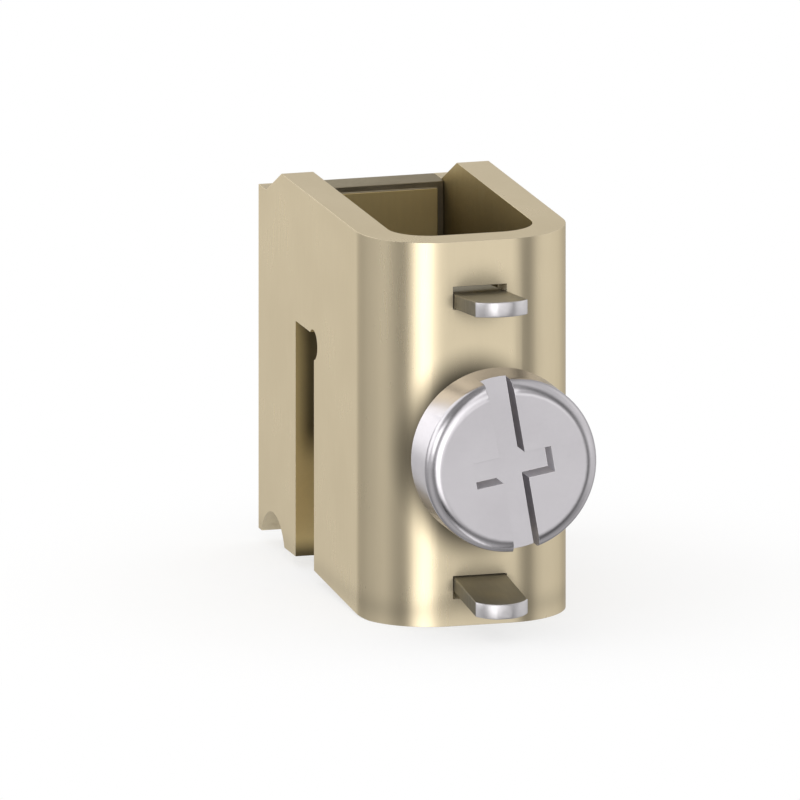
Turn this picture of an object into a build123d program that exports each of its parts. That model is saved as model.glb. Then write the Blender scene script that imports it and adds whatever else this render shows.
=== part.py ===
# Busbar terminal connector. A folded cage hooks over a flat bar from above, and a screw in its front wall drives
# a pressure plate that clamps a cable against the bar.
# Sizes are in millimetres. X runs across the cage, Y from the screw head to the back plate, and Z upwards.
# The origin is the centre of the bottom of the whole part, with the screw where the rest pose has it.

import math
import os

from build123d import *

# Cage, folded from one strap
sheet = 2.5  # thickness of the strap
cage_width = 16.2  # over the two side walls
cage_depth = 32.4  # front face to rear edges
cage_height = 29.6
bend_inside_radius = 3.2  # the two front bends

# Upper rear corners of the side walls
rear_drop = 2.15  # the rear ends lie this far under the top edge
rear_level = 2.05  # length of the level rear end
ramp_length = 4.25  # slope from the top edge down to the rear end

# Underside of the side walls
foot_length = 3.6  # the front stretch that stands lowest
underside_rise = 0.94  # height of the underside behind the slots
scallop_radius = 3.37
scallop_height = 2.05  # above the underside
scallop_from_rear = 4.0  # centre of the scallop

# Slots for the bar
bar_thickness = 5.0
bar_clearance = 0.06  # added to the bar's thickness
bar_from_front = 17.17  # cage's front face to the bar's front face
bar_slot_top = 19.1  # height of the slot's end
relief_radius = 1.15  # round relief in the slot's upper front corner
relief_back = 0.23  # its centre behind the slot's front edge
relief_down = 0.8  # its centre under the slot's end

# Screw hole in the front wall, with a collar drawn inwards that lengthens the thread
hole_chamfer = 0.4  # at its mouth
collar_wall = 1.1
collar_length = 2.4

# Back plate
back_plate_thickness = 2.9
back_pad_border = 0.5  # lowered border round the plate's front face
back_pad_height = 0.15

# Screw
screw_height = 14.12  # axis above the cage's lowest edge
thread_radius = 4.0
head_radius = 6.7
head_height = 4.8
head_edge_radius = 1.15
head_gap = 4.6  # head to front wall at rest
drive_width = 2.0  # slot and cross arm
drive_depth = 2.0
cross_arm_length = 6.15
drive_turn = 9.6  # degrees, anticlockwise seen from the front
end_chamfer = 0.6
journal_radius = 2.5  # turns in the pressure plate
peened_width = 0.9  # peened end past the journal, all round
peened_height = 0.8

# Pressure plate, folded from one thin sheet
plate_sheet = 1.15
plate_side_gap = 0.4  # between the plate and each side wall
plate_corner_radius = 1.0
cable_room = 9.0  # plate to bar at rest
travel_out = 0.2  # play outwards from rest, before the splayed arms wedge in their windows
arm_width = 4.1
arm_spread = 10.92  # screw axis to the middle of an arm, at the cage's front face
arm_splay = 6.0  # degrees outwards
arm_reach = 7.0  # arm tip in front of the cage at rest
arm_tip_radius = 2.5
arm_bend_inside_radius = 0.8
bend_relief = 0.15  # between the plate's broad part and its bends

# Clearances
running_clearance = 0.05  # shaft in hole, on the radius, and the plate's play along the screw
window_clearance = 0.05  # window round the moving arm
seat_clearance = 0.05  # left under the head when the screw is driven home
through = 1.0  # extra length of a cut past its face

# Places worked out from the sizes
front_y = (head_height + head_gap - cage_depth) / 2
rear_y = front_y + cage_depth
inside_width = cage_width - 2 * sheet
rear_top_z = cage_height - rear_drop
slot_front_y = front_y + bar_from_front
slot_width = bar_thickness + bar_clearance
plate_rear_y = slot_front_y - cable_room
plate_front_y = plate_rear_y - plate_sheet
head_back_y = front_y - head_gap
head_front_y = head_back_y - head_height
hole_radius = thread_radius + running_clearance
travel_in = head_gap - seat_clearance
front_plane = Plane(origin=(0, front_y, screw_height), x_dir=(1, 0, 0), z_dir=(0, -1, 0))
head_plane = Plane(origin=(0, head_front_y, screw_height), x_dir=(1, 0, 0), z_dir=(0, -1, 0))
plate_plane = Plane(origin=(0, plate_rear_y, screw_height), x_dir=(1, 0, 0), z_dir=(0, -1, 0))
axis_side_plane = Plane(origin=(0, 0, screw_height), x_dir=(0, 1, 0), z_dir=(1, 0, 0))
screw_axis = Axis((0, 0, screw_height), (0, 1, 0))


def arm_offset(depth):
    """Screw axis to the middle of an arm, at this depth behind the cage's front face."""
    return arm_spread - depth * math.tan(math.radians(arm_splay))


# A window slopes as its arm does, and is as high as all that passes through it over the screw's travel
arm_half_thickness = plate_sheet / 2 / math.cos(math.radians(arm_splay))
window_outer = arm_offset(-travel_in) + arm_half_thickness + window_clearance
window_inner = arm_offset(travel_out) - arm_half_thickness - window_clearance
window_slope = sheet * math.tan(math.radians(arm_splay))

# Cage
wall_middle_x = (cage_width - sheet) / 2
with BuildPart() as cage:
    # The strap's section seen from above
    with BuildSketch(Plane.XY):
        with BuildLine():
            FilletPolyline(
                (-wall_middle_x, rear_y),
                (-wall_middle_x, front_y + sheet / 2),
                (wall_middle_x, front_y + sheet / 2),
                (wall_middle_x, rear_y),
                radius=bend_inside_radius + sheet / 2,
            )
        trace(line_width=sheet)
    extrude(amount=cage_height)

    # Drawn collar and screw hole
    with BuildSketch(front_plane.offset(-sheet)):
        Circle(hole_radius + collar_wall)
    extrude(amount=-collar_length)
    with BuildSketch(front_plane):
        Circle(hole_radius)
    extrude(amount=-sheet - collar_length, mode=Mode.SUBTRACT)
    hole_mouth = cage.edges().filter_by(GeomType.CIRCLE).group_by(Axis.Y)[0]
    chamfer(hole_mouth, hole_chamfer)

    # Windows for the arms
    with BuildSketch(axis_side_plane):
        for side in (1, -1):
            with BuildLine():
                Polyline(
                    (front_y, side * window_outer),
                    (front_y + sheet, side * (window_outer - window_slope)),
                    (front_y + sheet, side * (window_inner - window_slope)),
                    (front_y, side * window_inner),
                    close=True,
                )
            make_face()
    extrude(amount=arm_width / 2 + window_clearance, both=True, mode=Mode.SUBTRACT)

    # Outline of both side walls: upper rear corners, underside, scallops and slots
    with BuildSketch(Plane.YZ):
        with BuildLine():
            Polyline(
                (rear_y - rear_level - ramp_length, cage_height),
                (rear_y - rear_level, rear_top_z),
                (rear_y + through, rear_top_z),
                (rear_y + through, cage_height + through),
                (rear_y - rear_level - ramp_length, cage_height + through),
                close=True,
            )
        make_face()
        with BuildLine():
            Polyline(
                (front_y + foot_length, 0),
                (slot_front_y, underside_rise),
                (rear_y + through, underside_rise),
                (rear_y + through, -through),
                (front_y + foot_length, -through),
                close=True,
            )
        make_face()
        with Locations((rear_y - scallop_from_rear, underside_rise + scallop_height - scallop_radius)):
            Circle(scallop_radius)
        with Locations((slot_front_y, bar_slot_top)):
            Rectangle(slot_width, bar_slot_top + through, align=(Align.MIN, Align.MAX))
        with Locations((slot_front_y + relief_back, bar_slot_top - relief_down)):
            Circle(relief_radius)
    extrude(amount=cage_width, both=True, mode=Mode.SUBTRACT)

# Back plate, between the side walls and level with their low rear ends
back_plate_height = rear_top_z - underside_rise
back_plane = Plane(
    origin=(0, rear_y, underside_rise + back_plate_height / 2), x_dir=(1, 0, 0), z_dir=(0, -1, 0)
)
with BuildPart() as back_plate:
    with BuildSketch(back_plane):
        Rectangle(inside_width, back_plate_height)
    extrude(amount=back_plate_thickness - back_pad_height)
    with BuildSketch(back_plane.offset(back_plate_thickness - back_pad_height)):
        Rectangle(inside_width - 2 * back_pad_border, back_plate_height - 2 * back_pad_border)
    extrude(amount=back_pad_height)

# Pressure plate
plate_middle_y = plate_rear_y - plate_sheet / 2
tip_y = front_y - arm_reach
tip_shoulder_y = tip_y + arm_tip_radius - math.sqrt(arm_tip_radius**2 - (arm_width / 2) ** 2)
arm_root = arm_offset(plate_middle_y - front_y)
plate_half_height = arm_root - plate_sheet / 2 - arm_bend_inside_radius - bend_relief
with BuildPart() as pressure_plate:
    # Two splayed arms and the strip between them, folded from the sheet
    with BuildSketch(axis_side_plane):
        with BuildLine():
            FilletPolyline(
                (tip_y, arm_offset(-arm_reach)),
                (plate_middle_y, arm_root),
                (plate_middle_y, -arm_root),
                (tip_y, -arm_offset(-arm_reach)),
                radius=arm_bend_inside_radius + plate_sheet / 2,
            )
        trace(line_width=plate_sheet)
    extrude(amount=arm_width / 2, both=True)

    # Rounded arm tips, seen from above
    with BuildSketch(Plane.XY):
        with BuildLine():
            tip = ThreePointArc(
                (-arm_width / 2, tip_shoulder_y), (0, tip_y), (arm_width / 2, tip_shoulder_y)
            )
            Polyline(
                tip @ 1,
                (arm_width / 2, plate_rear_y),
                (-arm_width / 2, plate_rear_y),
                tip @ 0,
            )
        make_face()
    extrude(amount=2 * screw_height, mode=Mode.INTERSECT)

    # Broad base that meets the cable, and the hole that the screw turns in
    with BuildSketch(plate_plane):
        RectangleRounded(
            inside_width - 2 * plate_side_gap, 2 * plate_half_height, plate_corner_radius
        )
    extrude(amount=plate_sheet)
    with BuildSketch(plate_plane):
        Circle(journal_radius + running_clearance)
    extrude(amount=plate_sheet, mode=Mode.SUBTRACT)

# Screw
shoulder_y = plate_front_y - running_clearance
peened_y = plate_rear_y + running_clearance
peened_radius = journal_radius + peened_width
dome_radius = (peened_radius**2 + peened_height**2) / (2 * peened_height)
dome_centre_y = peened_y + peened_height - dome_radius
dome_mid_y = dome_centre_y + math.sqrt(dome_radius**2 - (peened_radius / 2) ** 2)
with BuildPart() as clamp_screw:
    # Turned profile from the head to the peened end
    with BuildSketch(axis_side_plane) as profile:
        with BuildLine():
            turned = Polyline(
                (peened_y + peened_height, 0),
                (head_front_y, 0),
                (head_front_y, head_radius),
                (head_back_y, head_radius),
                (head_back_y, thread_radius),
                (shoulder_y - end_chamfer, thread_radius),
                (shoulder_y, thread_radius - end_chamfer),
                (shoulder_y, journal_radius),
                (peened_y, journal_radius),
                (peened_y, peened_radius),
            )
            ThreePointArc(turned @ 1, (dome_mid_y, peened_radius / 2), turned @ 0)
        make_face()
        rim = profile.vertices().group_by(Axis.Y)[-1]
        fillet(rim.sort_by(Axis.X)[0], head_edge_radius)
    revolve(axis=screw_axis)

    # Slot across the head and the shorter arm that crosses it
    with BuildSketch(head_plane):
        Rectangle(drive_width, 2 * head_radius + through, rotation=drive_turn)
        Rectangle(cross_arm_length, drive_width, rotation=drive_turn)
    extrude(amount=-drive_depth, mode=Mode.SUBTRACT)

cage.part.label = "cage"
back_plate.part.label = "back_plate"
pressure_plate.part.label = "pressure_plate"
clamp_screw.part.label = "clamp_screw"

os.makedirs("parts", exist_ok=True)
export_step(cage.part, "parts/cage.step")
export_step(back_plate.part, "parts/back_plate.step")
export_step(pressure_plate.part, "parts/pressure_plate.step")
export_step(clamp_screw.part, "parts/clamp_screw.step")
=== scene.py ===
import math

import bpy
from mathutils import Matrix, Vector


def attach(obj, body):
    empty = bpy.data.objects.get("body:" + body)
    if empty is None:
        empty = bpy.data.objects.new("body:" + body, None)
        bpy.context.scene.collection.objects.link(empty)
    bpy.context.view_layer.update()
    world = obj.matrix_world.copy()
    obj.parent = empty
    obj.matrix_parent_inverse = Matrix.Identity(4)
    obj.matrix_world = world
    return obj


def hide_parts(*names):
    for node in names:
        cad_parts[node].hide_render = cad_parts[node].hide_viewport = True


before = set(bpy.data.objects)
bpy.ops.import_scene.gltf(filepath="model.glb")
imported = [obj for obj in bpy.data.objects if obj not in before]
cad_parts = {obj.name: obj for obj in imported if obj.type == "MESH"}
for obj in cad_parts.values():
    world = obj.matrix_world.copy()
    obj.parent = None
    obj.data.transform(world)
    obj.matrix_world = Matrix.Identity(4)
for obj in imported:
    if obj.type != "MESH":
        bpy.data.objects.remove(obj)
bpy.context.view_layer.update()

# Busbar terminal connector: plated cage and back plate, zinc plated clamping screw and pressure plate.
# Everything is in metres and in the frame's own place: X across, Y from the screw to the back plate, Z up.
mm = 0.001
print("frame loaded:", ", ".join(sorted(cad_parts)))


# Small helpers
skinLook = {
    "mergeBelow": 0.001 * mm,  # points that are closer than this are one
    "flatBelow": 0.5,  # degrees between two faces that count as one flat
    "largeFaceWeight": 80,  # how far large faces decide the normals at an edge
}


def deselectAll():
    if bpy.context.mode != "OBJECT":
        bpy.ops.object.mode_set(mode="OBJECT")
    bpy.ops.object.select_all(action="DESELECT")


def pick(obj):
    deselectAll()
    obj.select_set(True)
    bpy.context.view_layer.objects.active = obj


def applyModifier(obj, kind, **settings):
    pick(obj)
    modifier = obj.modifiers.new(kind.lower(), kind)
    for name, value in settings.items():
        setattr(modifier, name, value)
    bpy.ops.object.modifier_apply(modifier=modifier.name)


def copyNode(nodeName, pieceName):
    # the node's own skin, merged and with its flat areas cleaned up, ready for real edge rounding
    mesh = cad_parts[nodeName].data.copy()
    mesh.materials.clear()
    piece = bpy.data.objects.new(pieceName, mesh)
    bpy.context.scene.collection.objects.link(piece)
    pick(piece)
    bpy.ops.mesh.customdata_custom_splitnormals_clear()
    bpy.ops.object.mode_set(mode="EDIT")
    bpy.ops.mesh.select_all(action="SELECT")
    bpy.ops.mesh.remove_doubles(threshold=skinLook["mergeBelow"])
    bpy.ops.mesh.dissolve_limited(angle_limit=math.radians(skinLook["flatBelow"]))
    bpy.ops.object.mode_set(mode="OBJECT")
    return piece


def roundEdges(piece, look):
    applyModifier(
        piece,
        "BEVEL",
        width=look["edgeRadius"],
        segments=look["edgeSegments"],
        limit_method="ANGLE",
        angle_limit=math.radians(look["edgeAngle"]),
        miter_outer="MITER_ARC",
        use_clamp_overlap=True,
    )


def smoothSkin(piece, look):
    pick(piece)
    bpy.ops.object.shade_smooth_by_angle(angle=math.radians(look["smoothAngle"]))
    applyModifier(piece, "WEIGHTED_NORMAL", keep_sharp=True, weight=skinLook["largeFaceWeight"])


# Camera, at the photo's viewing angle
cameraLook = {
    "azimuth": -15.88,  # degrees, to the left of the front
    "elevation": 12.69,
    "centre": (-2.758 * mm, 0.790 * mm, 14.82 * mm),  # what the middle of the picture shows
    "distance": 500 * mm,
    "width": 60.15 * mm,  # of the view
    "seenFrom": 1 * mm,  # from the camera
    "seenTo": 10000 * mm,
}
azimuth = math.radians(cameraLook["azimuth"])
elevation = math.radians(cameraLook["elevation"])
towards = Vector((
    math.sin(azimuth) * math.cos(elevation),
    -math.cos(azimuth) * math.cos(elevation),
    math.sin(elevation),
))
deselectAll()
bpy.ops.object.camera_add(
    location=Vector(cameraLook["centre"]) + towards * cameraLook["distance"],
    rotation=(math.pi / 2 - elevation, 0, azimuth),
)
camera = bpy.context.active_object
camera.name = "camera"
camera.data.type = "ORTHO"
camera.data.ortho_scale = cameraLook["width"]
camera.data.clip_start = cameraLook["seenFrom"]
camera.data.clip_end = cameraLook["seenTo"]
bpy.context.scene.camera = camera
bpy.context.scene.view_settings.view_transform = "Standard"
print("camera placed")


# Helpers for shader nodes
def addNode(tree, kind, place, **settings):
    node = tree.nodes.new(kind)
    node.location = place
    for name, value in settings.items():
        setattr(node, name, value)
    return node


def join(tree, source, target):
    tree.links.new(source, target)


def addMath(tree, operation, place, *inputs):
    node = addNode(tree, "ShaderNodeMath", place, operation=operation)
    for number, value in enumerate(inputs):
        if isinstance(value, (int, float)):
            node.inputs[number].default_value = value
        else:
            join(tree, value, node.inputs[number])
    return node.outputs[0]


def remap(tree, value, low, high, toLow, toHigh, place, smooth=True):
    node = addNode(tree, "ShaderNodeMapRange", place)
    node.interpolation_type = "SMOOTHSTEP" if smooth else "LINEAR"
    join(tree, value, node.inputs["Value"])
    for socket, number in (("From Min", low), ("From Max", high), ("To Min", toLow), ("To Max", toHigh)):
        if isinstance(number, (int, float)):
            node.inputs[socket].default_value = number
        else:
            join(tree, number, node.inputs[socket])
    return node.outputs["Result"]


def addRamp(tree, value, stops, place):
    # stops are (place, grey level)
    node = addNode(tree, "ShaderNodeValToRGB", place)
    ramp = node.color_ramp
    while len(ramp.elements) > 1:
        ramp.elements.remove(ramp.elements[-1])
    ramp.elements[0].position = stops[0][0]
    ramp.elements[0].color = (stops[0][1],) * 3 + (1,)
    for position, level in stops[1:]:
        ramp.elements.new(position).color = (level,) * 3 + (1,)
    join(tree, value, node.inputs["Fac"])
    return node.outputs["Color"]


def mixColours(tree, factor, first, second, place):
    node = addNode(tree, "ShaderNodeMix", place, data_type="RGBA")
    join(tree, factor, node.inputs["Factor"])
    colourSockets = [socket for socket in node.inputs if socket.type == "RGBA"]
    for socket, value in zip(colourSockets, (first, second)):
        if isinstance(value, tuple):
            socket.default_value = value
        else:
            join(tree, value, socket)
    return [socket for socket in node.outputs if socket.type == "RGBA"][0]


# Studio: soft panels all round in the world, and a pale floor
black = (0, 0, 0, 1)
plainWhite = (1, 1, 1, 1)
studio = {
    "peak": 2.7,  # brightness of the strongest panel, which stands left of the front
    # (degrees round from the front, + to the right; brightness) near the horizon
    "round": (
        (-180, 0.93), (-164, 1.02), (-158, 0.97), (-152, 0.58), (-140, 0.5), (-123, 0.56), (-109, 0.6),
        (-96, 0.69), (-85, 0.67), (-74, 0.46), (-62, 0.33), (-50, 0.34), (-44, 0.65), (-39, 1.5),
        (-32, 2.4), (-24, 2.7), (-15, 2.5), (-8, 1.8), (-4, 1.08), (2, 1.05), (25, 1.06), (30, 0.7),
        (36, 0.28), (45, 0.24), (52, 0.37), (60, 0.7), (68, 0.78), (92, 0.73), (115, 0.82),
        (130, 0.68), (152, 0.62), (164, 0.88),
    ),
    # (degrees up; share of the brightness above), in front and behind
    "frontHeight": (
        (-90, 0.72), (-73, 0.66), (-55, 0.42), (-38, 0.26), (-30, 0.4), (-23, 0.85), (-14, 0.95), (-9, 1.1),
        (-3, 1.5), (2, 1.4), (8, 1.0), (14, 0.82), (26, 0.72), (34, 0.56), (45, 0.62), (59, 0.78),
        (74, 0.75), (90, 0.75),
    ),
    "backHeight": (
        (-90, 0.6), (-60, 0.5), (-35, 0.6), (-22, 0.85), (-12, 1.0), (20, 1.0), (35, 0.7), (55, 0.45),
        (75, 0.65), (90, 0.75),
    ),
    "sideBlend": 0.4,  # how far the front and the back heights run into each other
    # small lamps, and two dark patches, that draw the side and the rim of the screw's head:
    # degrees round, degrees up, where the glow starts and where it is full, brightness
    "lamps": (
        (-162, 5, 16, 5, 1.1), (-145, 32, 24, 9, 1.1), (-118, 15, 24, 9, 1.5), (-76, 17, 21, 6, 2.4),
        (4, 26, 19, 7, 0.8), (95, 40, 50, 20, 0.4), (85, -35, 45, 15, 0.22), (-85, -52, 42, 15, 0.35),
        (20, 14, 12, 4, -0.3), (-26, -38, 18, 7, -0.7),
    ),
}

deselectAll()
world = bpy.data.worlds.new("studio")
bpy.context.scene.world = world
world.use_nodes = True
tree = world.node_tree
tree.nodes.clear()
direction = addNode(tree, "ShaderNodeTexCoord", (-1400, 0))
parts = addNode(tree, "ShaderNodeSeparateXYZ", (-1220, 0))
join(tree, direction.outputs["Generated"], parts.inputs[0])
back = addMath(tree, "MULTIPLY", (-1060, -60), parts.outputs["Y"], -1.0)
roundAngle = addMath(tree, "ARCTAN2", (-900, 60), parts.outputs["X"], back)
upAngle = addMath(tree, "ARCSINE", (-900, -120), parts.outputs["Z"])
roundShare = remap(tree, roundAngle, -math.pi, math.pi, 0, 1, (-740, 160), smooth=False)
upShare = remap(tree, upAngle, -math.pi / 2, math.pi / 2, 0, 1, (-740, -60), smooth=False)
behind = remap(tree, parts.outputs["Y"], -studio["sideBlend"], studio["sideBlend"], 0, 1, (-740, -260))
roundStops = [(angle / 360 + 0.5, level / studio["peak"]) for angle, level in studio["round"]]
frontStops = [(angle / 180 + 0.5, level) for angle, level in studio["frontHeight"]]
backStops = [(angle / 180 + 0.5, level) for angle, level in studio["backHeight"]]
roundLevel = addRamp(tree, roundShare, roundStops, (-560, 240))
frontLevel = addRamp(tree, upShare, frontStops, (-560, 0))
backLevel = addRamp(tree, upShare, backStops, (-560, -240))
upLevel = mixColours(tree, behind, frontLevel, backLevel, (-280, -80))
glow = addMath(tree, "MULTIPLY", (-100, 120), roundLevel, upLevel)
glow = addMath(tree, "MULTIPLY", (-60, 0), glow, studio["peak"])
for number, (*angles, lampGlow) in enumerate(studio["lamps"]):
    lampRound, lampUp, wide, narrow = (math.radians(angle) for angle in angles)
    lampPlace = (
        math.sin(lampRound) * math.cos(lampUp), -math.cos(lampRound) * math.cos(lampUp), math.sin(lampUp)
    )
    nodeHeight = -440 - 220 * number
    nearness = addNode(tree, "ShaderNodeVectorMath", (-740, nodeHeight), operation="DOT_PRODUCT")
    join(tree, direction.outputs["Generated"], nearness.inputs[0])
    nearness.inputs[1].default_value = lampPlace
    lamp = remap(
        tree, nearness.outputs["Value"], math.cos(wide), math.cos(narrow), 0, lampGlow, (-560, nodeHeight)
    )
    glow = addMath(tree, "ADD", (20, -160 - 120 * number), glow, lamp)
light = addNode(tree, "ShaderNodeBackground", (120, 60))
join(tree, glow, light.inputs["Color"])
white = addNode(tree, "ShaderNodeBackground", (120, -80))
white.inputs["Color"].default_value = plainWhite
path = addNode(tree, "ShaderNodeLightPath", (120, 420))
choose = addNode(tree, "ShaderNodeMixShader", (320, 60))
plain = addMath(tree, "MAXIMUM", (220, 300), path.outputs["Is Camera Ray"], path.outputs["Is Diffuse Ray"])
join(tree, plain, choose.inputs[0])  # the metal mirrors the panels, and all else sees plain white
join(tree, light.outputs[0], choose.inputs[1])
join(tree, white.outputs[0], choose.inputs[2])
worldOut = addNode(tree, "ShaderNodeOutputWorld", (500, 60))
join(tree, choose.outputs[0], worldOut.inputs["Surface"])

floorLook = {
    "size": 1.6,
    "colour": (0.97, 0.97, 0.97, 1),
    "shadowFull": 20 * mm,  # from the middle, the shadow is as strong as it gets up to here
    "shadowReach": 45 * mm,  # and the floor turns plain white here
    "shadowShare": 0.34,  # how much of the shadow shows by the part
}
bpy.ops.mesh.primitive_plane_add(size=floorLook["size"], location=(0, 0, 0))
floor = bpy.context.active_object
floor.name = "floor"
floorMaterial = bpy.data.materials.new("paleFloor")
floorMaterial.use_nodes = True
tree = floorMaterial.node_tree
tree.nodes.clear()
diffuse = addNode(tree, "ShaderNodeBsdfDiffuse", (0, 0))
diffuse.inputs["Color"].default_value = floorLook["colour"]
bright = addNode(tree, "ShaderNodeEmission", (0, -140))
bright.inputs["Color"].default_value = plainWhite
clear = addNode(tree, "ShaderNodeBsdfTransparent", (0, -260))
path = addNode(tree, "ShaderNodeLightPath", (-500, 260))
side = addNode(tree, "ShaderNodeNewGeometry", (-500, -80))
coords = addNode(tree, "ShaderNodeTexCoord", (-900, 0))
length = addNode(tree, "ShaderNodeVectorMath", (-720, 0), operation="LENGTH")
join(tree, coords.outputs["Object"], length.inputs[0])
far = remap(
    tree, length.outputs["Value"], floorLook["shadowFull"], floorLook["shadowReach"],
    1 - floorLook["shadowShare"], 1, (-500, 60),
)
whiteShare = addMath(tree, "MULTIPLY", (-260, 160), far, path.outputs["Is Camera Ray"])
seen = addNode(tree, "ShaderNodeMixShader", (200, 60))
join(tree, whiteShare, seen.inputs[0])
join(tree, diffuse.outputs[0], seen.inputs[1])
join(tree, bright.outputs[0], seen.inputs[2])
hidden = addMath(tree, "MAXIMUM", (-260, 0), path.outputs["Is Glossy Ray"], side.outputs["Backfacing"])
both = addNode(tree, "ShaderNodeMixShader", (400, 0))
join(tree, hidden, both.inputs[0])
join(tree, seen.outputs[0], both.inputs[1])
join(tree, clear.outputs[0], both.inputs[2])
floorOut = addNode(tree, "ShaderNodeOutputMaterial", (600, 0))
join(tree, both.outputs[0], floorOut.inputs["Surface"])
floor.data.materials.append(floorMaterial)
print("studio and floor made")


# Finishes. The effects that several materials share come first.
effectLook = {
    "cornerSamples": 4,
    "openSamples": 12,
    "wearPatches": 900,
    "wearBreakup": 0.5,
    "wornBelow": 0.86,  # how well the rounded normal agrees with the face's own, on a worn edge
    "cleanAbove": 0.99,  # and on a flat
    "pitScale": 1600,
    "pitEdge": (0.02, 0.25),  # from the middle of a pit to its rim, in cells
    "pitShare": 0.3,  # of the height, and grain is the rest
    "cloudDetail": 3,
    "grainDetail": 4,
    "grainFine": 0.6,  # how much of the grain is in its finer layers
    "noiseRange": (0.3, 0.7),  # the stretch of a noise that is used
    "grainRoughness": 0.15,
    "bumpDepth": 0.004 * mm,
    "lowShadeHeight": 26 * mm,  # painted shade towards the floor: it starts here and grows downwards
}


def newGroup(name, inputs, outputs):
    group = bpy.data.node_groups.new(name, "ShaderNodeTree")
    for socketName, kind, value in inputs:
        socket = group.interface.new_socket(socketName, in_out="INPUT", socket_type=kind)
        socket.default_value = value
    for socketName, kind in outputs:
        group.interface.new_socket(socketName, in_out="OUTPUT", socket_type=kind)
    start = addNode(group, "NodeGroupInput", (-900, 0))
    end = addNode(group, "NodeGroupOutput", (600, 0))
    return group, start, end


def useGroup(tree, group, place, **values):
    node = addNode(tree, "ShaderNodeGroup", place, node_tree=group)
    for name, value in values.items():
        node.inputs[name.replace("_", " ")].default_value = value
    return node


# Worn edges: 1 on an edge, 0 on the flat, broken up a little along its length
edgeWear, start, end = newGroup(
    "edgeWear",
    (("Radius", "NodeSocketFloat", 0.2 * mm), ("Breakup", "NodeSocketFloat", 0.4)),
    (("Mask", "NodeSocketFloat"),),
)
bevel = addNode(edgeWear, "ShaderNodeBevel", (-700, 120), samples=effectLook["cornerSamples"])
join(edgeWear, start.outputs["Radius"], bevel.inputs["Radius"])
geometry = addNode(edgeWear, "ShaderNodeNewGeometry", (-700, -60))
dot = addNode(edgeWear, "ShaderNodeVectorMath", (-520, 60), operation="DOT_PRODUCT")
join(edgeWear, bevel.outputs[0], dot.inputs[0])
join(edgeWear, geometry.outputs["Normal"], dot.inputs[1])
worn = remap(
    edgeWear, dot.outputs["Value"], effectLook["wornBelow"], effectLook["cleanAbove"], 1, 0, (-340, 60)
)
coords = addNode(edgeWear, "ShaderNodeTexCoord", (-900, -240))
patches = addNode(edgeWear, "ShaderNodeTexNoise", (-700, -240))
patches.inputs["Scale"].default_value = effectLook["wearPatches"]
join(edgeWear, coords.outputs["Object"], patches.inputs["Vector"])
thin = addMath(edgeWear, "MULTIPLY", (-340, -200), patches.outputs["Fac"], start.outputs["Breakup"])
thin = addMath(edgeWear, "SUBTRACT", (-160, -200), 1.0, thin)
worn = addMath(edgeWear, "MULTIPLY", (40, 0), worn, thin)
join(edgeWear, worn, end.inputs["Mask"])

# Contact shade: 1 where something stands close in front of the surface, 0 in the open
contactShade, start, end = newGroup(
    "contactShade",
    (
        ("Reach", "NodeSocketFloat", 10 * mm),
        ("Dark Below", "NodeSocketFloat", 0.4),
        ("Clear Above", "NodeSocketFloat", 0.9),
    ),
    (("Mask", "NodeSocketFloat"),),
)
openness = addNode(
    contactShade, "ShaderNodeAmbientOcclusion", (-640, 60), samples=effectLook["openSamples"]
)
join(contactShade, start.outputs["Reach"], openness.inputs["Distance"])
shaded = remap(
    contactShade, openness.outputs["AO"], start.outputs["Dark Below"], start.outputs["Clear Above"], 1, 0,
    (-400, 60),
)
join(contactShade, shaded, end.inputs["Mask"])

# Plating: cloudy tone, and a fine grain drawn out along the rolling direction
platedSkin, start, end = newGroup(
    "platedSkin",
    (
        ("Cloud Scale", "NodeSocketFloat", 120.0),
        ("Grain Scale", "NodeSocketFloat", 3000.0),
        ("Stretch", "NodeSocketVector", (1, 1, 1)),
    ),
    (("Cloud", "NodeSocketFloat"), ("Grain", "NodeSocketFloat"), ("Height", "NodeSocketFloat")),
)
coords = addNode(platedSkin, "ShaderNodeTexCoord", (-900, -240))
cloud = addNode(platedSkin, "ShaderNodeTexNoise", (-480, 200))
cloud.inputs["Detail"].default_value = effectLook["cloudDetail"]
join(platedSkin, coords.outputs["Object"], cloud.inputs["Vector"])
join(platedSkin, start.outputs["Cloud Scale"], cloud.inputs["Scale"])
drawn = addNode(platedSkin, "ShaderNodeVectorMath", (-680, -120), operation="MULTIPLY")
join(platedSkin, coords.outputs["Object"], drawn.inputs[0])
join(platedSkin, start.outputs["Stretch"], drawn.inputs[1])
grain = addNode(platedSkin, "ShaderNodeTexNoise", (-480, -120))
grain.inputs["Detail"].default_value = effectLook["grainDetail"]
grain.inputs["Roughness"].default_value = effectLook["grainFine"]
join(platedSkin, drawn.outputs[0], grain.inputs["Vector"])
join(platedSkin, start.outputs["Grain Scale"], grain.inputs["Scale"])
pits = addNode(platedSkin, "ShaderNodeTexVoronoi", (-480, -400), feature="F1")
pits.inputs["Scale"].default_value = effectLook["pitScale"]
join(platedSkin, coords.outputs["Object"], pits.inputs["Vector"])
pitDepth = remap(platedSkin, pits.outputs["Distance"], *effectLook["pitEdge"], 0, 1, (-280, -400))
grainPart = addMath(platedSkin, "MULTIPLY", (-100, -260), grain.outputs["Fac"], 1 - effectLook["pitShare"])
pitPart = addMath(platedSkin, "MULTIPLY", (-100, -420), pitDepth, effectLook["pitShare"])
height = addMath(platedSkin, "ADD", (80, -300), grainPart, pitPart)
cloudShare = remap(platedSkin, cloud.outputs["Fac"], *effectLook["noiseRange"], 0, 1, (-280, 200))
grainShare = remap(platedSkin, grain.outputs["Fac"], *effectLook["noiseRange"], 0, 1, (-280, -60))
join(platedSkin, cloudShare, end.inputs["Cloud"])
join(platedSkin, grainShare, end.inputs["Grain"])
join(platedSkin, height, end.inputs["Height"])


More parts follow.
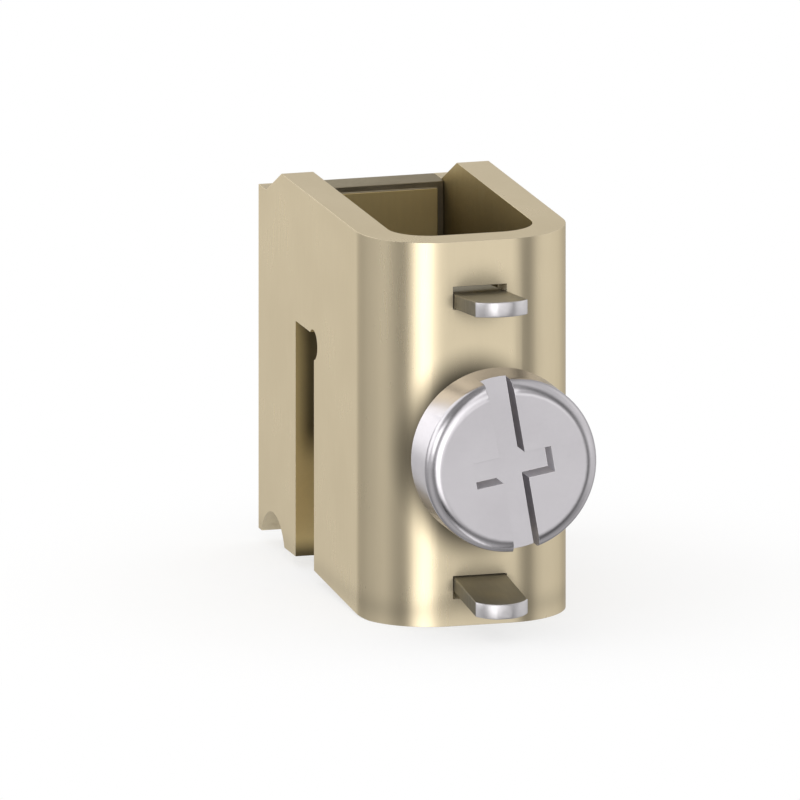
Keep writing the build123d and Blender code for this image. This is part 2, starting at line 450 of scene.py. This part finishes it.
def shadeByContact(tree, tone, parts, look):
    # darker where something stands close in front. With clearFoot, the shade fades out towards the floor.
    contact = useGroup(
        tree, contactShade, (-420, 640), Reach=look["contactReach"], Dark_Below=look["contactDark"],
        Clear_Above=look["contactClear"],
    )
    share = addMath(tree, "MULTIPLY", (-220, 640), contact.outputs["Mask"], look["contactShare"])
    if "clearFoot" in look:
        foot = remap(tree, parts.outputs["Z"], 0, look["clearFoot"], 0, 1, (-220, 780))
        share = addMath(tree, "MULTIPLY", (-40, 700), share, foot)
    return mixColours(tree, share, tone, black, (340, 260))


def shadeDeepDown(tree, tone, parts, look):
    # darker the deeper it lies in the side wall, most of all high up, and dark at the very foot
    across = addMath(tree, "ABSOLUTE", (-540, 1140), parts.outputs["X"])
    deep = remap(tree, across, look["deepInner"], look["deepOuter"], look["deepShade"], 0, (-360, 1140))
    high = remap(
        tree, parts.outputs["Z"], look["deepLow"], look["deepHigh"], look["deepLeast"], 1, (-360, 1300)
    )
    share = addMath(tree, "MULTIPLY", (-180, 1140), deep, high)
    foot = remap(
        tree, parts.outputs["Z"], look["footDark"], look["footClear"], look["footShade"], 0, (-360, 1460)
    )
    share = addMath(tree, "MAXIMUM", (0, 1240), share, foot)
    return mixColours(tree, share, tone, black, (380, 600))


def shadeBehindHead(tree, tone, coords, parts, look):
    # painted shadow of the screw's head: darker in a soft oval behind the head, which hangs a little below
    # the screw
    sideways, up = look["ovalMiddle"]
    oval = addNode(tree, "ShaderNodeVectorMath", (-540, 820), operation="MULTIPLY_ADD")
    join(tree, coords.outputs["Object"], oval.inputs[0])
    oval.inputs[1].default_value = (1, 0, 1 / look["ovalStretch"])
    oval.inputs[2].default_value = (-sideways, 0, -up / look["ovalStretch"])
    fromMiddle = addNode(tree, "ShaderNodeVectorMath", (-360, 820), operation="LENGTH")
    join(tree, oval.outputs[0], fromMiddle.inputs[0])
    behindHead = remap(
        tree, fromMiddle.outputs["Value"], look["ovalInner"], look["ovalOuter"], look["headShade"], 0,
        (-180, 820),
    )
    onFront = remap(tree, parts.outputs["Y"], look["frontUntil"], look["frontPast"], 1, 0, (-180, 980))
    share = addMath(tree, "MULTIPLY", (20, 820), behindHead, onFront)
    return mixColours(tree, share, tone, black, (420, 400))


def makeMetal(name, look):
    material = bpy.data.materials.new(name)
    material.use_nodes = True
    tree = material.node_tree
    tree.nodes.clear()
    shader = addNode(tree, "ShaderNodeBsdfPrincipled", (500, 0))
    shader.inputs["Metallic"].default_value = look.get("metallic", 1)
    shader.inputs["Specular Tint"].default_value = look["rimTint"]
    out = addNode(tree, "ShaderNodeOutputMaterial", (800, 0))
    join(tree, shader.outputs[0], out.inputs["Surface"])
    skin = useGroup(
        tree, platedSkin, (-700, 0), Cloud_Scale=look["cloudScale"], Grain_Scale=look["grainScale"],
        Stretch=look["stretch"],
    )
    wear = useGroup(
        tree, edgeWear, (-700, -260), Radius=look["wearRadius"], Breakup=effectLook["wearBreakup"]
    )
    tone = mixColours(tree, skin.outputs["Cloud"], look["colour"], look["cloudColour"], (-420, 140))
    grainShare = addMath(tree, "MULTIPLY", (-420, 300), skin.outputs["Grain"], look["grainShare"])
    tone = mixColours(tree, grainShare, tone, look["grainColour"], (-220, 140))
    wearShare = addMath(tree, "MULTIPLY", (-420, -260), wear.outputs["Mask"], look["wearShare"])
    tone = mixColours(tree, wearShare, tone, look["wearColour"], (-20, 140))
    coords = addNode(tree, "ShaderNodeTexCoord", (-900, 460))
    parts = addNode(tree, "ShaderNodeSeparateXYZ", (-720, 460))
    join(tree, coords.outputs["Object"], parts.inputs[0])
    # painted shade, darker towards the floor by lowShade
    low = remap(
        tree, parts.outputs["Z"], 0, effectLook["lowShadeHeight"], look["lowShade"], 0, (-540, 460), smooth=False
    )
    tone = mixColours(tree, low, tone, black, (180, 200))
    if "contactShare" in look:
        tone = shadeByContact(tree, tone, parts, look)
    if "deepShade" in look:
        tone = shadeDeepDown(tree, tone, parts, look)
    if "headShade" in look:
        tone = shadeBehindHead(tree, tone, coords, parts, look)
    join(tree, tone, shader.inputs["Base Color"])
    rough = remap(tree, skin.outputs["Cloud"], 0, 1, *look["roughness"], (-220, -60))
    grainRough = addMath(tree, "MULTIPLY", (-220, -220), grainShare, effectLook["grainRoughness"])
    rough = addMath(tree, "ADD", (-20, -60), rough, grainRough)
    join(tree, rough, shader.inputs["Roughness"])
    bump = addNode(tree, "ShaderNodeBump", (200, -300))
    bump.inputs["Strength"].default_value = look["bump"]
    bump.inputs["Distance"].default_value = effectLook["bumpDepth"]
    join(tree, skin.outputs["Height"], bump.inputs["Height"])
    join(tree, bump.outputs[0], shader.inputs["Normal"])
    return material


champagnePlating = makeMetal("champagnePlating", {
    "colour": (0.675, 0.578, 0.404, 1),
    "cloudColour": (0.665, 0.569, 0.397, 1),
    "grainColour": (0.56, 0.47, 0.32, 1),
    "wearColour": (0.74, 0.67, 0.53, 1),
    "grainShare": 0.07,
    "wearShare": 0.5,
    "wearRadius": 0.12 * mm,
    "rimTint": (0.873, 0.829, 0.734, 1),
    "lowShade": 0.09,
    "contactShare": 0.62,
    "contactReach": 3.5 * mm,
    "contactDark": 0.55,
    "contactClear": 0.9,
    "clearFoot": 2.4 * mm,
    # painted shadow of the screw's head on the front wall
    "headShade": 0.9,
    "ovalMiddle": (-0.5 * mm, 13.12 * mm),  # across and up
    "ovalStretch": 1.374,  # how much taller than wide
    "ovalInner": 4.22 * mm,
    "ovalOuter": 6.46 * mm,
    "frontUntil": -9.5 * mm,  # the oval lies on what is forward of this, and is gone
    "frontPast": -8 * mm,  # behind this
    "roughness": (0.27, 0.3),
    "cloudScale": 140,
    "grainScale": 2600,
    "stretch": (1, 1, 0.12),
    "bump": 0.03,
})
shadedInsideTone = {  # the plating painted darker and warmer, as the shade and bounce light inside; shared by the plated faces that look into the cable space or the slots
    "colour": (0.66, 0.51, 0.24, 1),
    "cloudColour": (0.62, 0.475, 0.225, 1),
    "grainColour": (0.5, 0.385, 0.2, 1),
    "wearColour": (0.74, 0.67, 0.53, 1),
    "metallic": 0.72,
    "grainShare": 0.15,
    "wearShare": 0.3,
    "wearRadius": 0.12 * mm,
    "rimTint": (0.8, 0.72, 0.53, 1),
    "roughness": (0.36, 0.42),
    "cloudScale": 140,
    "grainScale": 2600,
}
insidePlating = makeMetal("insidePlating", {
    **shadedInsideTone,
    "lowShade": 0.2,
    "contactShare": 0.88,
    "contactReach": 20 * mm,
    "contactDark": 0.3,
    "contactClear": 0.95,
    "stretch": (1, 1, 0.12),
    "bump": 0.3,
})
slotPlating = makeMetal("slotPlating", {
    **shadedInsideTone,
    "lowShade": 0.1,
    "contactShare": 0.85,
    "contactReach": 15 * mm,
    "contactDark": 0.15,
    "contactClear": 0.75,
    "clearFoot": 20 * mm,
    "deepShade": 0.8,
    "deepInner": 6.8 * mm,  # from the middle of the cage
    "deepOuter": 8.2 * mm,
    "deepLow": 7.5 * mm,
    "deepHigh": 11 * mm,
    "deepLeast": 0.05,
    "footShade": 0.85,  # below footDark, and gone above footClear
    "footDark": 1.0 * mm,
    "footClear": 2.6 * mm,
    "stretch": (1, 0.12, 1),
    "bump": 0.4,
})
# the back plate's pad, with the same painted inside shade
padPlating = makeMetal("padPlating", {
    **shadedInsideTone,
    "lowShade": 0.2,
    "stretch": (1, 1, 0.12),
    "bump": 0.3,
})
# a mostly matt copy of the plating, so it takes the plain white light, and lighter in colour: painted light
# on cut faces that lie in shade
litCutPlating = makeMetal("litCutPlating", {
    "colour": (0.78, 0.69, 0.5, 1),
    "cloudColour": (0.74, 0.65, 0.47, 1),
    "grainColour": (0.6, 0.52, 0.38, 1),
    "wearColour": (0.74, 0.67, 0.53, 1),
    "metallic": 0.2,
    "grainShare": 0.3,
    "wearShare": 0.3,
    "wearRadius": 0.08 * mm,
    "rimTint": (0.8, 0.75, 0.62, 1),
    "lowShade": 0.1,
    "roughness": (0.5, 0.56),
    "cloudScale": 140,
    "grainScale": 2600,
    "stretch": (1, 0.12, 1),
    "bump": 0.4,
})
dullPlating = makeMetal("dullPlating", {
    "colour": (0.34, 0.29, 0.20, 1),
    "cloudColour": (0.31, 0.265, 0.185, 1),
    "grainColour": (0.26, 0.22, 0.16, 1),
    "wearColour": (0.5, 0.45, 0.35, 1),
    "grainShare": 0.25,
    "wearShare": 0.4,
    "wearRadius": 0.12 * mm,
    "rimTint": (0.75, 0.72, 0.65, 1),
    "lowShade": 0.3,
    "roughness": (0.3, 0.38),
    "cloudScale": 160,
    "grainScale": 2200,
    "stretch": (1, 1, 0.2),
    "bump": 0.5,
})
brightZinc = makeMetal("brightZinc", {
    "colour": (0.55, 0.53, 0.55, 1),
    "cloudColour": (0.525, 0.505, 0.525, 1),
    "grainColour": (0.48, 0.46, 0.49, 1),
    "wearColour": (0.7, 0.69, 0.7, 1),
    "grainShare": 0.12,
    "wearShare": 0.5,
    "wearRadius": 0.1 * mm,
    "rimTint": (0.85, 0.84, 0.85, 1),
    "lowShade": 0.0,
    "roughness": (0.2, 0.24),
    "cloudScale": 200,
    "grainScale": 3200,
    "stretch": (1, 0.3, 1),
    "bump": 0.3,
})
dullZinc = makeMetal("dullZinc", {
    "colour": (0.435, 0.415, 0.35, 1),
    "cloudColour": (0.405, 0.385, 0.325, 1),
    "grainColour": (0.34, 0.32, 0.28, 1),
    "wearColour": (0.5, 0.48, 0.45, 1),
    "grainShare": 0.3,
    "wearShare": 0.4,
    "wearRadius": 0.08 * mm,
    "rimTint": (0.75, 0.72, 0.65, 1),
    "lowShade": 0.0,
    "contactShare": 0.2,
    "contactReach": 2.5 * mm,
    "contactDark": 0.4,
    "contactClear": 0.9,
    "roughness": (0.34, 0.42),
    "cloudScale": 260,
    "grainScale": 2400,
    "stretch": (1, 0.2, 1),
    "bump": 0.5,
})
# the pressure plate's zinc, rougher and painted darker as shade, for the sheet's sides
shadedShearedZinc = makeMetal("shadedShearedZinc", {
    "colour": (0.29, 0.275, 0.235, 1),
    "cloudColour": (0.27, 0.255, 0.22, 1),
    "grainColour": (0.2, 0.19, 0.165, 1),
    "wearColour": (0.42, 0.4, 0.37, 1),
    "grainShare": 0.4,
    "wearShare": 0.4,
    "wearRadius": 0.08 * mm,
    "rimTint": (0.6, 0.58, 0.52, 1),
    "lowShade": 0.0,
    "roughness": (0.4, 0.48),
    "cloudScale": 260,
    "grainScale": 2400,
    "stretch": (1, 1, 0.3),
    "bump": 0.6,
})
# matt zinc of the screw's shaft, also used on the arms' ends as painted light
mattZincAndTipLight = makeMetal("mattZincAndTipLight", {
    "colour": (0.62, 0.6, 0.61, 1),
    "cloudColour": (0.58, 0.56, 0.57, 1),
    "grainColour": (0.48, 0.465, 0.475, 1),
    "wearColour": (0.74, 0.73, 0.74, 1),
    "metallic": 0.9,
    "grainShare": 0.2,
    "wearShare": 0.5,
    "wearRadius": 0.06 * mm,
    "rimTint": (0.85, 0.85, 0.85, 1),
    "lowShade": 0.0,
    "contactShare": 0.75,
    "contactReach": 1.6 * mm,
    "contactDark": 0.35,
    "contactClear": 0.9,
    "roughness": (0.3, 0.38),
    "cloudScale": 260,
    "grainScale": 2400,
    "stretch": (1, 1, 1),
    "bump": 0.4,
})
milledTone = {  # shared by the milled walls of the slot and of its cross arm
    "metallic": 0.15,
    "grainShare": 0.4,
    "wearShare": 0.3,
    "wearRadius": 0.06 * mm,
    "rimTint": (0.6, 0.6, 0.6, 1),
    "lowShade": 0.0,
    "roughness": (0.38, 0.46),
    "cloudScale": 260,
    "grainScale": 2400,
    "stretch": (1, 0.15, 1),
    "bump": 0.6,
}
# the slot's milled walls, painted dark as the shade down in the slot
shadedMilledZinc = makeMetal("shadedMilledZinc", {
    **milledTone,
    "colour": (0.165, 0.152, 0.172, 1),
    "cloudColour": (0.152, 0.14, 0.16, 1),
    "grainColour": (0.105, 0.098, 0.113, 1),
    "wearColour": (0.3, 0.3, 0.31, 1),
})
crossZinc = makeMetal("crossZinc", {
    **milledTone,
    "colour": (0.52, 0.5, 0.535, 1),
    "cloudColour": (0.49, 0.47, 0.505, 1),
    "grainColour": (0.38, 0.37, 0.4, 1),
    "wearColour": (0.6, 0.6, 0.61, 1),
})
print("finishes made")


# Cage
cageLook = {
    "edgeRadius": 0.16 * mm, "edgeSegments": 3, "edgeAngle": 35, "smoothAngle": 42,
    "insideHalf": 5.65 * mm,  # the cable space, from its middle to a side wall
    "insideFront": -9.05 * mm,  # and its front wall
    "slotFrom": 4.5 * mm, "slotTo": 11.2 * mm, "slotTop": 20.5 * mm,
    "windowHalf": 3.2 * mm, "windowLow": 0.8 * mm, "windowHigh": 28 * mm,
    "scallopTop": 3.6 * mm,  # the scallops in the underside, behind the slots
    "edgeOn": 0.3,  # a face runs along an axis if its normal's part along it is less
    "upright": 0.5,  # and stands upright if the part along Z is less
}
cage = copyNode("cage", "cageShell")
roundEdges(cage, cageLook)
smoothSkin(cage, cageLook)
cage.data.materials.append(champagnePlating)
cage.data.materials.append(insidePlating)
cage.data.materials.append(slotPlating)
cage.data.materials.append(litCutPlating)
for face in cage.data.polygons:
    x, y, z = face.center
    atSlot = cageLook["slotFrom"] < y < cageLook["slotTo"] and z < cageLook["slotTop"]
    inCableSpace = abs(x) < cageLook["insideHalf"] and y > cageLook["insideFront"]
    atScallop = y > cageLook["slotTo"] and z < cageLook["scallopTop"]
    atWindow = abs(x) < cageLook["windowHalf"] and y < cageLook["insideFront"]
    if atSlot and abs(face.normal.x) < cageLook["edgeOn"]:
        face.material_index = 2  # the cut faces of the bar's slots
    elif inCableSpace and abs(face.normal.z) < cageLook["upright"]:
        face.material_index = 1  # the walls of the cable space
    elif atScallop and abs(face.normal.x) < cageLook["edgeOn"]:
        face.material_index = 3  # the cut faces under the side walls' rear ends
    elif atWindow and abs(face.normal.y) < cageLook["edgeOn"]:
        if cageLook["windowLow"] < z < cageLook["windowHigh"]:
            face.material_index = 3  # the cut faces of the arms' windows
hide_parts("cage")
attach(cage, "cage")
print("cage:", len(cage.data.polygons), "faces")


# Back plate
backPlateLook = {
    "edgeRadius": 0.06 * mm, "edgeSegments": 2, "edgeAngle": 35, "smoothAngle": 50,
    "padFront": 18.05 * mm,  # the pad's face lies in front of this
    "facingFront": -0.9,  # along Y, of the normals of its front face
}
backPlate = copyNode("back_plate", "backPlate")
roundEdges(backPlate, backPlateLook)
smoothSkin(backPlate, backPlateLook)
backPlate.data.materials.append(dullPlating)
backPlate.data.materials.append(padPlating)
for face in backPlate.data.polygons:  # the pad in the middle of its front face
    if face.normal.y < backPlateLook["facingFront"] and face.center.y < backPlateLook["padFront"]:
        face.material_index = 1
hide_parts("back_plate")
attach(backPlate, "cage")
print("back plate:", len(backPlate.data.polygons), "faces")


# Pressure plate
plateLook = {
    "edgeRadius": 0.09 * mm, "edgeSegments": 3, "edgeAngle": 35, "smoothAngle": 42,
    "tipEnd": -17.0 * mm,  # the arms' ends lie in front of this
    "facingFront": -0.35,  # along Y, of the normals of the ends' faces
    "facingSide": 0.7,  # along X, of the normals of the sheared sides
}
pressurePlate = copyNode("pressure_plate", "pressurePlate")
roundEdges(pressurePlate, plateLook)
smoothSkin(pressurePlate, plateLook)
pressurePlate.data.materials.append(dullZinc)
pressurePlate.data.materials.append(mattZincAndTipLight)
pressurePlate.data.materials.append(shadedShearedZinc)
for face in pressurePlate.data.polygons:
    if face.center.y < plateLook["tipEnd"] and face.normal.y < plateLook["facingFront"]:
        face.material_index = 1  # the rounded ends of the arms take the lighter matt zinc: painted light
    elif abs(face.normal.x) > plateLook["facingSide"]:
        face.material_index = 2  # and the sheared sides of the sheet are rougher, and painted darker as shade
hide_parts("pressure_plate")
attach(pressurePlate, "pressure_plate")
pressurePlate.visible_glossy = False
print("pressure plate:", len(pressurePlate.data.polygons), "faces")


# Clamping screw, with a real thread
screwLook = {
    "edgeRadius": 0.1 * mm, "edgeSegments": 3, "edgeAngle": 40, "smoothAngle": 38,
    "axisHeight": 14.12 * mm,
    "slotFloor": -18.92 * mm,
    "headBack": -16.1 * mm,
    "pitch": 1.25 * mm,
    "threadRadius": 4.0 * mm,
    "rootRadius": 3.25 * mm,
    "threadStart": -15.2 * mm,  # under the head
    "turns": 9,
    "stepsPerTurn": 56,
    "flankAngle": 30,  # degrees
    "grooveHalf": 7 / 16,  # of the pitch, at the thread's crest
    "grooveOver": 0.06 * mm,  # the cutter starts this far outside the shaft
    "headInside": 6.6 * mm,  # the slot's walls lie inside this radius
    "wallReach": 5.5 * mm,  # and face the axis from less than this
    "slotReach": 1.4 * mm,  # the main slot's walls are nearer to the axis than this
    "facingFront": 0.3,  # a wall's normal has less than this along Y
    "facingUp": 0.5,  # and in the cross arm more than this along Z
    "behindBack": 0.1 * mm,
}
clampScrew = copyNode("clamp_screw", "clampScrew")
roundEdges(clampScrew, screwLook)

# The groove's section is a circle of four points, which are moved into a trapezoid and wound round the axis
deselectAll()
bpy.ops.mesh.primitive_circle_add(vertices=4, radius=1 * mm, location=(0, 0, screwLook["axisHeight"]))
groove = bpy.context.active_object
groove.name = "groove"
flankSlope = math.tan(math.radians(screwLook["flankAngle"]))
outerRadius = screwLook["threadRadius"] + screwLook["grooveOver"]
outerHalf = screwLook["pitch"] * screwLook["grooveHalf"] + screwLook["grooveOver"] * flankSlope
rootHalf = outerHalf - (outerRadius - screwLook["rootRadius"]) * flankSlope
corners = (
    (screwLook["rootRadius"], -rootHalf), (outerRadius, -outerHalf),
    (outerRadius, outerHalf), (screwLook["rootRadius"], rootHalf),
)
for vertex, (radius, offset) in zip(groove.data.vertices, corners):
    vertex.co = (radius, screwLook["threadStart"] + offset, 0)
applyModifier(
    groove, "SCREW", axis="Y", angle=math.tau, screw_offset=screwLook["pitch"],
    iterations=screwLook["turns"], steps=screwLook["stepsPerTurn"], render_steps=screwLook["stepsPerTurn"],
    use_normal_calculate=True,
)
lastRing = len(groove.data.vertices) - len(corners)
for ringStart in (0, lastRing):  # each end is closed with a face
    pick(groove)
    bpy.ops.object.mode_set(mode="EDIT")
    bpy.ops.mesh.select_mode(type="VERT")
    bpy.ops.mesh.select_all(action="DESELECT")
    bpy.ops.object.mode_set(mode="OBJECT")
    for number in range(len(corners)):
        groove.data.vertices[ringStart + number].select = True
    bpy.ops.object.mode_set(mode="EDIT")
    bpy.ops.mesh.edge_face_add()
    bpy.ops.object.mode_set(mode="OBJECT")
bpy.ops.object.mode_set(mode="EDIT")
bpy.ops.mesh.select_all(action="SELECT")
bpy.ops.mesh.normals_make_consistent(inside=False)
bpy.ops.object.mode_set(mode="OBJECT")
applyModifier(clampScrew, "BOOLEAN", operation="DIFFERENCE", object=groove, solver="EXACT")
bpy.data.objects.remove(groove)
smoothSkin(clampScrew, screwLook)
clampScrew.data.materials.append(brightZinc)
clampScrew.data.materials.append(shadedMilledZinc)
clampScrew.data.materials.append(mattZincAndTipLight)
clampScrew.data.materials.append(crossZinc)
for face in clampScrew.data.polygons:
    outwards = Vector((face.center.x, 0, face.center.z - screwLook["axisHeight"]))
    reach = face.normal.dot(outwards)
    inHead = face.center.y < screwLook["slotFloor"] and outwards.length < screwLook["headInside"]
    if inHead and abs(face.normal.y) < screwLook["facingFront"] and reach < screwLook["wallReach"]:
        # milled walls: in the slot painted darker as shade, lighter in the shorter cross arm
        inCross = abs(face.normal.z) > screwLook["facingUp"] or abs(reach) > screwLook["slotReach"]
        face.material_index = 3 if inCross else 1
    elif face.center.y > screwLook["headBack"] - screwLook["behindBack"]:
        face.material_index = 2  # all that lies behind the head
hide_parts("clamp_screw")
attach(clampScrew, "clamp_screw")
clampScrew.visible_glossy = False
print("clamping screw:", len(clampScrew.data.polygons), "faces")


# The end
deselectAll()
